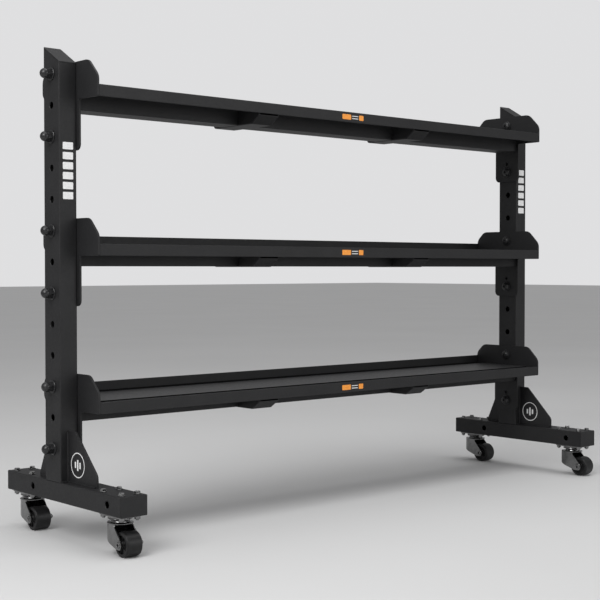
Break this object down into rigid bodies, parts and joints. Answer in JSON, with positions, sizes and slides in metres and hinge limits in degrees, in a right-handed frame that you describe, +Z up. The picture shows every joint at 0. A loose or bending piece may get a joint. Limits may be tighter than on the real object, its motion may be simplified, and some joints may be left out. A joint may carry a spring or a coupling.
{
  "type": "storage rack",
  "caption": "Wheeled steel storage rack: lipped shelf trays bolt between drilled rectangular uprights, which stand on gusseted feet with swivel casters.",
  "frame": {"origin": "middle of the footprint at floor level", "axes": "+X along the shelves, -Y to the front with the low lips, +Z up"},
  "size_m": [1.9334, 0.5628, 1.268],
  "materials": {
    "powder_coat": "fine satin black powder coat",
    "black_hardware": "black coated bolts, washers and dome nuts",
    "zinc_plate": "bright zinc plate",
    "wheel_black": "hard black tread, soft sheen",
    "tray_liner": "thin black liner sheet, soft sheen",
    "marking_white": "plain white vinyl, no lettering",
    "marking_orange": "plain orange label, no lettering"
  },
  "bodies": {
    "root": {"upright_left": "powder_coat", "upright_cap_left": "powder_coat", "gusset_left_front": "powder_coat", "gusset_left_back": "powder_coat", "foot_left": "powder_coat", "foot_cap_left_front": "powder_coat", "foot_cap_left_back": "powder_coat", "caster_plate_left_front": "zinc_plate", "caster_plate_left_back": "zinc_plate", "upright_right": "powder_coat", "upright_cap_right": "powder_coat", "gusset_right_front": "powder_coat", "gusset_right_back": "powder_coat", "foot_right": "powder_coat", "foot_cap_right_front": "powder_coat", "foot_cap_right_back": "powder_coat", "caster_plate_right_front": "zinc_plate", "caster_plate_right_back": "zinc_plate", "shelf_tray_bottom": "powder_coat", "shelf_beam_bottom": "powder_coat", "shelf_end_bottom_left": "powder_coat", "shelf_rib_bottom_left": "powder_coat", "shelf_bolt_bottom_left_upper": "black_hardware", "shelf_bolt_bottom_left_lower": "black_hardware", "shelf_end_bottom_right": "powder_coat", "shelf_rib_bottom_right": "powder_coat", "shelf_bolt_bottom_right_upper": "black_hardware", "shelf_bolt_bottom_right_lower": "black_hardware", "shelf_tray_middle": "powder_coat", "shelf_beam_middle": "powder_coat", "shelf_end_middle_left": "powder_coat", "shelf_rib_middle_left": "powder_coat", "shelf_bolt_middle_left_upper": "black_hardware", "shelf_bolt_middle_left_lower": "black_hardware", "shelf_end_middle_right": "powder_coat", "shelf_rib_middle_right": "powder_coat", "shelf_bolt_middle_right_upper": "black_hardware", "shelf_bolt_middle_right_lower": "black_hardware", "shelf_tray_top": "powder_coat", "shelf_beam_top": "powder_coat", "shelf_end_top_left": "powder_coat", "shelf_rib_top_left": "powder_coat", "shelf_bolt_top_left_upper": "black_hardware", "shelf_bolt_top_left_lower": "black_hardware", "shelf_end_top_right": "powder_coat", "shelf_rib_top_right": "powder_coat", "shelf_bolt_top_right_upper": "black_hardware", "shelf_bolt_top_right_lower": "black_hardware"},
    "swivel_left_front": {"caster_fork_left_front": "zinc_plate", "caster_axle_left_front": "zinc_plate"},
    "wheel_left_front": {"caster_wheel_left_front": "wheel_black"},
    "swivel_left_back": {"caster_fork_left_back": "zinc_plate", "caster_axle_left_back": "zinc_plate"},
    "wheel_left_back": {"caster_wheel_left_back": "wheel_black"},
    "swivel_right_front": {"caster_fork_right_front": "zinc_plate", "caster_axle_right_front": "zinc_plate"},
    "wheel_right_front": {"caster_wheel_right_front": "wheel_black"},
    "swivel_right_back": {"caster_fork_right_back": "zinc_plate", "caster_axle_right_back": "zinc_plate"},
    "wheel_right_back": {"caster_wheel_right_back": "wheel_black"}
  },
  "joints": [
    {"name": "swivel_left_front", "type": "hinge", "parent": "root", "child": "swivel_left_front", "pos_m": [-0.8973, -0.21158, 0.09], "axis": [0, 0, 1], "continuous": true},
    {"name": "roll_left_front", "type": "hinge", "parent": "swivel_left_front", "child": "wheel_left_front", "pos_m": [-0.89863, -0.24955, 0.031], "axis": [0.9994, -0.0349, 0], "continuous": true},
    {"name": "swivel_left_back", "type": "hinge", "parent": "root", "child": "swivel_left_back", "pos_m": [-0.8973, 0.21742, 0.09], "axis": [0, 0, 1], "continuous": true},
    {"name": "roll_left_back", "type": "hinge", "parent": "swivel_left_back", "child": "wheel_left_back", "pos_m": [-0.89929, 0.17948, 0.031], "axis": [0.9986, -0.0523, 0], "continuous": true},
    {"name": "swivel_right_front", "type": "hinge", "parent": "root", "child": "swivel_right_front", "pos_m": [0.9227, -0.21158, 0.09], "axis": [0, 0, 1], "continuous": true},
    {"name": "roll_right_front", "type": "hinge", "parent": "swivel_right_front", "child": "wheel_right_front", "pos_m": [0.92469, -0.24952, 0.031], "axis": [0.9986, 0.0523, 0], "continuous": true},
    {"name": "swivel_right_back", "type": "hinge", "parent": "root", "child": "swivel_right_back", "pos_m": [0.9227, 0.21742, 0.09], "axis": [0, 0, 1], "continuous": true},
    {"name": "roll_right_back", "type": "hinge", "parent": "swivel_right_back", "child": "wheel_right_back", "pos_m": [0.92336, 0.17943, 0.031], "axis": [0.9998, 0.0175, 0], "continuous": true}
  ]
}
